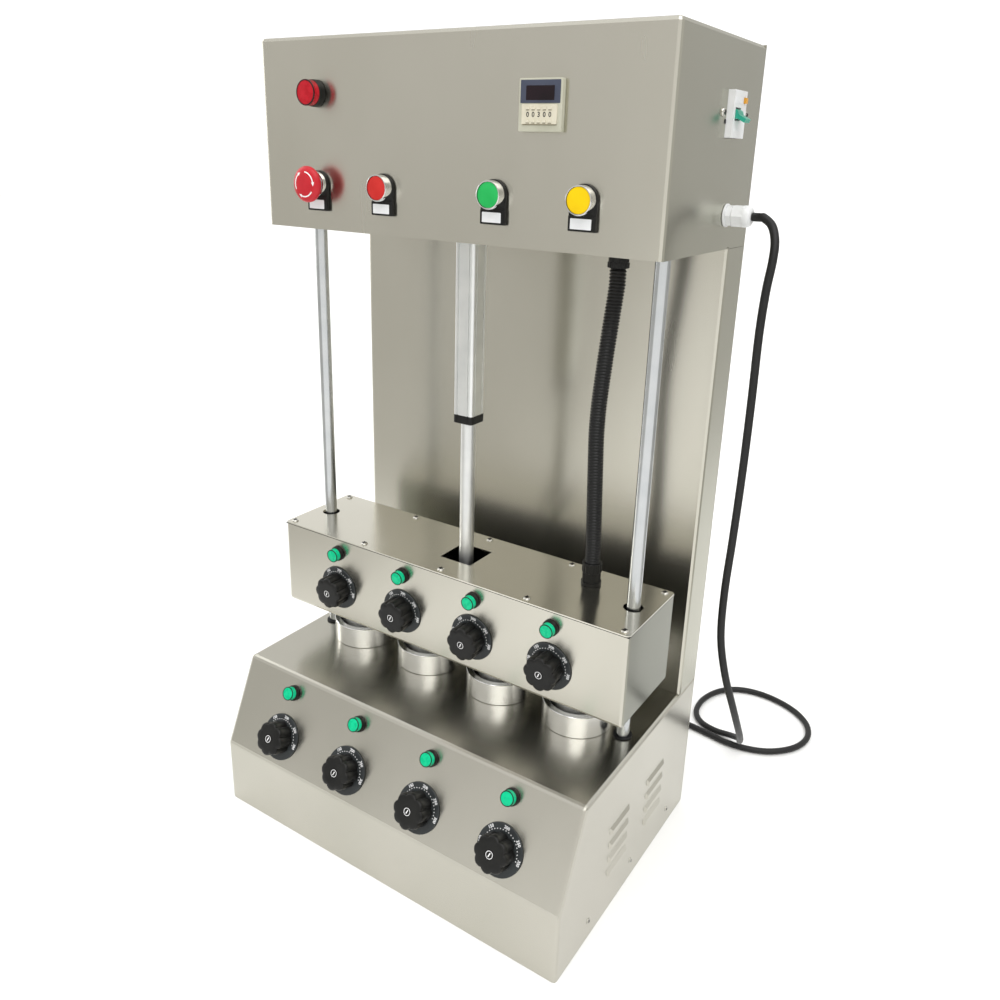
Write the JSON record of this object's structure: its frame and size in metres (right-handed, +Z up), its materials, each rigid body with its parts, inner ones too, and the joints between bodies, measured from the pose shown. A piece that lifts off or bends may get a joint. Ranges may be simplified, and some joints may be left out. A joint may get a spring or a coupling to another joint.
{
  "type": "pizza cone machine",
  "caption": "Countertop machine that bakes pizza cones: a motor lowers a carriage of heated plungers into conical moulds in a dial-fronted base.",
  "frame": {"origin": "on the surface it stands on, under the middle of the base's floor", "axes": "+Z up, the front with the dials faces -Y, +X is the machine's right as seen from the front"},
  "size_m": [0.6389, 0.691, 0.979],
  "materials": {
    "actuator_drive": "matt",
    "actuator_end_cap": "matt",
    "actuator_rod": "polished",
    "actuator_tube": "anodised",
    "back_panel": "satin",
    "base_floor": "satin",
    "base_knob_1": "matt",
    "base_knob_2": "matt",
    "base_knob_3": "matt",
    "base_knob_4": "matt",
    "base_lamps": "glossy",
    "base_shell": "satin",
    "base_thermostats": "matt",
    "breaker_body": "matt",
    "breaker_bracket": "satin",
    "breaker_test_button": "semi-gloss",
    "breaker_toggle": "semi-gloss",
    "cable_gland": "matt",
    "carriage_box": "satin",
    "carriage_knob_1": "matt",
    "carriage_knob_2": "matt",
    "carriage_knob_3": "matt",
    "carriage_knob_4": "matt",
    "carriage_lamps": "glossy",
    "carriage_lid": "satin",
    "carriage_thermostats": "matt",
    "column_cover": "satin",
    "conduit": "matt",
    "conduit_bottom_nut": "matt",
    "conduit_top_fitting": "matt",
    "cord_coil": "matt",
    "down_button_body": "polished",
    "down_button_cap": "semi-gloss",
    "guide_bush_left": "satin",
    "guide_bush_right": "satin",
    "guide_rod_left": "polished",
    "guide_rod_right": "polished",
    "head_cover": "satin",
    "head_cross_bar": "satin",
    "head_floor": "satin",
    "lower_mould_1": "polished",
    "lower_mould_2": "polished",
    "lower_mould_3": "polished",
    "lower_mould_4": "polished",
    "mould_heaters": "matt",
    "power_cord": "matt",
    "power_lamp": "glossy",
    "power_plug": "matt",
    "rise_button_body": "polished",
    "rise_button_cap": "semi-gloss",
    "rod_bracket": "satin",
    "rod_foot_bar": "satin",
    "start_button_body": "polished",
    "start_button_cap": "semi-gloss",
    "stop_button_body": "polished",
    "stop_mushroom": "semi-gloss",
    "stop_plunger": "satin",
    "timer": "matt",
    "upper_moulds": "polished"
  },
  "bodies": {
    "machine": {"actuator_drive": "actuator_drive", "actuator_end_cap": "actuator_end_cap", "actuator_tube": "actuator_tube", "back_panel": "back_panel", "base_floor": "base_floor", "base_lamps": "base_lamps", "base_shell": "base_shell", "base_thermostats": "base_thermostats", "breaker_body": "breaker_body", "breaker_bracket": "breaker_bracket", "cable_gland": "cable_gland", "column_cover": "column_cover", "conduit": "conduit", "conduit_top_fitting": "conduit_top_fitting", "cord_coil": "cord_coil", "down_button_body": "down_button_body", "guide_rod_left": "guide_rod_left", "guide_rod_right": "guide_rod_right", "head_cover": "head_cover", "head_cross_bar": "head_cross_bar", "head_floor": "head_floor", "lower_mould_1": "lower_mould_1", "lower_mould_2": "lower_mould_2", "lower_mould_3": "lower_mould_3", "lower_mould_4": "lower_mould_4", "mould_heaters": "mould_heaters", "power_cord": "power_cord", "power_lamp": "power_lamp", "power_plug": "power_plug", "rise_button_body": "rise_button_body", "rod_foot_bar": "rod_foot_bar", "start_button_body": "start_button_body", "stop_button_body": "stop_button_body", "timer": "timer"},
    "carriage": {"carriage_box": "carriage_box", "carriage_lid": "carriage_lid", "upper_moulds": "upper_moulds", "guide_bush_left": "guide_bush_left", "guide_bush_right": "guide_bush_right", "actuator_rod": "actuator_rod", "rod_bracket": "rod_bracket", "carriage_thermostats": "carriage_thermostats", "carriage_lamps": "carriage_lamps", "conduit_bottom_nut": "conduit_bottom_nut"},
    "base_knob_1": {"base_knob_1": "base_knob_1"},
    "base_knob_2": {"base_knob_2": "base_knob_2"},
    "base_knob_3": {"base_knob_3": "base_knob_3"},
    "base_knob_4": {"base_knob_4": "base_knob_4"},
    "carriage_knob_1": {"carriage_knob_1": "carriage_knob_1"},
    "carriage_knob_2": {"carriage_knob_2": "carriage_knob_2"},
    "carriage_knob_3": {"carriage_knob_3": "carriage_knob_3"},
    "carriage_knob_4": {"carriage_knob_4": "carriage_knob_4"},
    "rise_button": {"rise_button_cap": "rise_button_cap"},
    "down_button": {"down_button_cap": "down_button_cap"},
    "start_button": {"start_button_cap": "start_button_cap"},
    "stop_plunger": {"stop_plunger": "stop_plunger"},
    "stop_mushroom": {"stop_mushroom": "stop_mushroom"},
    "breaker_toggle": {"breaker_toggle": "breaker_toggle"},
    "breaker_test_button": {"breaker_test_button": "breaker_test_button"}
  },
  "joints": [
    {"name": "carriage_slide", "type": "slide", "parent": "machine", "child": "carriage", "axis": [0, 0, 1], "range_m": [0, 0.2], "deforming": ["conduit"]},
    {"name": "base_knob_1_turn", "type": "hinge", "parent": "machine", "child": "base_knob_1", "pos_m": [-0.17295, -0.16181, 0.12526], "axis": [0, 0.9131, -0.4077], "range_deg": [0, 300]},
    {"name": "base_knob_2_turn", "type": "hinge", "parent": "machine", "child": "base_knob_2", "pos_m": [-0.05765, -0.16181, 0.12526], "axis": [0, 0.9131, -0.4077], "range_deg": [0, 300]},
    {"name": "base_knob_3_turn", "type": "hinge", "parent": "machine", "child": "base_knob_3", "pos_m": [0.05765, -0.16181, 0.12526], "axis": [0, 0.9131, -0.4077], "range_deg": [0, 300]},
    {"name": "base_knob_4_turn", "type": "hinge", "parent": "machine", "child": "base_knob_4", "pos_m": [0.17295, -0.16181, 0.12526], "axis": [0, 0.9131, -0.4077], "range_deg": [0, 300]},
    {"name": "carriage_knob_1_turn", "type": "hinge", "parent": "carriage", "child": "carriage_knob_1", "pos_m": [-0.1635, -0.054, 0.3027], "axis": [0, 1, 0], "range_deg": [0, 300]},
    {"name": "carriage_knob_2_turn", "type": "hinge", "parent": "carriage", "child": "carriage_knob_2", "pos_m": [-0.0545, -0.054, 0.3027], "axis": [0, 1, 0], "range_deg": [0, 300]},
    {"name": "carriage_knob_3_turn", "type": "hinge", "parent": "carriage", "child": "carriage_knob_3", "pos_m": [0.0545, -0.054, 0.3027], "axis": [0, 1, 0], "range_deg": [0, 300]},
    {"name": "carriage_knob_4_turn", "type": "hinge", "parent": "carriage", "child": "carriage_knob_4", "pos_m": [0.1635, -0.054, 0.3027], "axis": [0, 1, 0], "range_deg": [0, 300]},
    {"name": "rise_button_press", "type": "slide", "parent": "machine", "child": "rise_button", "axis": [0, 1, 0], "range_m": [0, 0.0035], "stiffness_N_per_m": 400},
    {"name": "down_button_press", "type": "slide", "parent": "machine", "child": "down_button", "axis": [0, 1, 0], "range_m": [0, 0.0035], "stiffness_N_per_m": 400},
    {"name": "start_button_press", "type": "slide", "parent": "machine", "child": "start_button", "axis": [0, 1, 0], "range_m": [0, 0.0035], "stiffness_N_per_m": 400},
    {"name": "stop_press", "type": "slide", "parent": "machine", "child": "stop_plunger", "axis": [0, 1, 0], "range_m": [0, 0.005], "stiffness_N_per_m": 900},
    {"name": "stop_twist", "type": "hinge", "parent": "stop_plunger", "child": "stop_mushroom", "pos_m": [-0.1745, -0.053, 0.8215], "axis": [0, 1, 0], "range_deg": [0, 45], "stiffness_Nm_per_rad": 0.05},
    {"name": "breaker_toggle_swing", "type": "hinge", "parent": "machine", "child": "breaker_toggle", "pos_m": [0.26565, 0.09, 0.90595], "axis": [0, -1, 0], "range_deg": [0, 52]},
    {"name": "breaker_test_press", "type": "slide", "parent": "machine", "child": "breaker_test_button", "axis": [-1, 0, 0], "range_m": [0, 0.002], "stiffness_N_per_m": 300}
  ]
}
